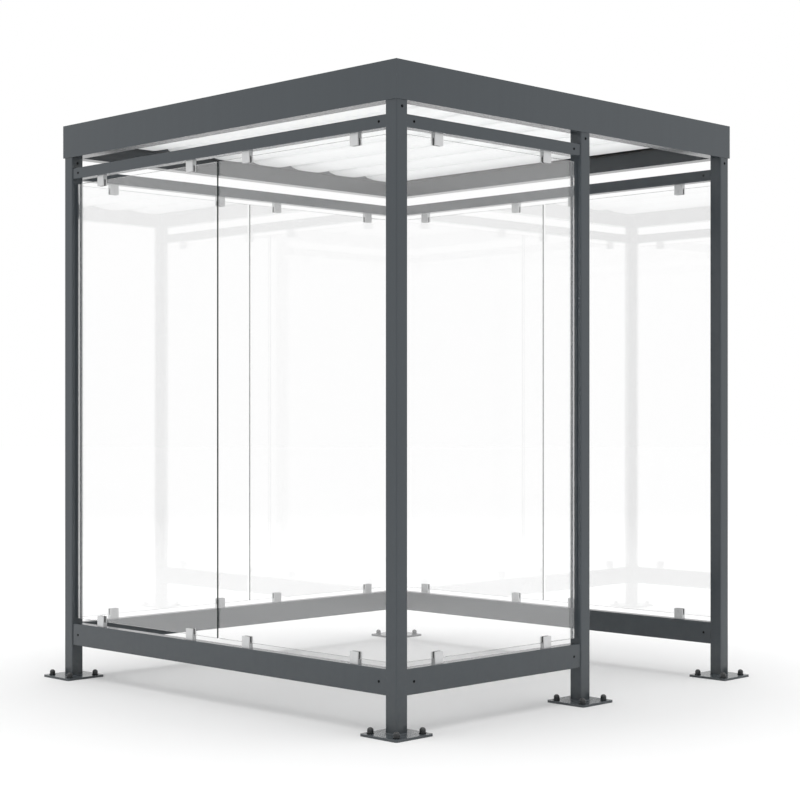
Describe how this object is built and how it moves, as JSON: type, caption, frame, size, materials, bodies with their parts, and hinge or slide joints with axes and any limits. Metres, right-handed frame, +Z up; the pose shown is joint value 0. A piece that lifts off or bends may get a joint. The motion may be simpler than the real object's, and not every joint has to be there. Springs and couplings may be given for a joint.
{
  "type": "bus shelter",
  "caption": "Walk-in glass bus shelter: box-section posts on base plates, rails that hold clamped panes, an open doorway, a folded gutter fascia and a ribbed white roof sheet",
  "frame": {"origin": "On the ground, at the middle of the base plates' outline, under the middle of the roof", "axes": "+Z up; the doorway wall faces -Y; +X runs to the doorway end, seen from outside the doorway wall"},
  "size_m": [2.32, 2.32, 2.556],
  "materials": {
    "frame_paint": "satin anthracite powder coat",
    "gutter_paint": "satin anthracite powder coat on folded sheet",
    "spigot_steel": "galvanised",
    "clear_glass": "clear toughened glass",
    "clamp_metal": "satin anodised",
    "liner_rubber": "matt black rubber",
    "roof_white": "white translucent sheet"
  },
  "bodies": {
    "root": {"base_plate_back_left": "frame_paint", "base_plate_back_right": "frame_paint", "base_plate_doorway": "frame_paint", "base_plate_front_left": "frame_paint", "base_plate_front_right": "frame_paint", "bottom_rail_back": "frame_paint", "bottom_rail_front": "frame_paint", "bottom_rail_left": "frame_paint", "bottom_rail_right": "frame_paint", "clamp_liners_back": "liner_rubber", "clamp_liners_front": "liner_rubber", "clamp_liners_left": "liner_rubber", "clamp_liners_right": "liner_rubber", "clamps_back_left": "clamp_metal", "clamps_back_right": "clamp_metal", "clamps_front": "clamp_metal", "clamps_left_back": "clamp_metal", "clamps_left_front": "clamp_metal", "clamps_right_back": "clamp_metal", "clamps_right_front": "clamp_metal", "fascia_back": "gutter_paint", "fascia_front": "gutter_paint", "fascia_left": "gutter_paint", "fascia_right": "gutter_paint", "glass_back_left": "clear_glass", "glass_back_right": "clear_glass", "glass_front": "clear_glass", "glass_left_back": "clear_glass", "glass_left_front": "clear_glass", "glass_right_back": "clear_glass", "glass_right_front": "clear_glass", "gutter_floor": "gutter_paint", "post_back_left": "frame_paint", "post_back_right": "frame_paint", "post_doorway": "frame_paint", "post_front_left": "frame_paint", "post_front_right": "frame_paint", "post_head_spigots": "spigot_steel", "rail_spigots": "spigot_steel", "roof_ledge": "gutter_paint", "roof_sheet": "roof_white", "top_rail_back": "frame_paint", "top_rail_front": "frame_paint", "top_rail_left": "frame_paint", "top_rail_right": "frame_paint"}
  },
  "joints": []
}
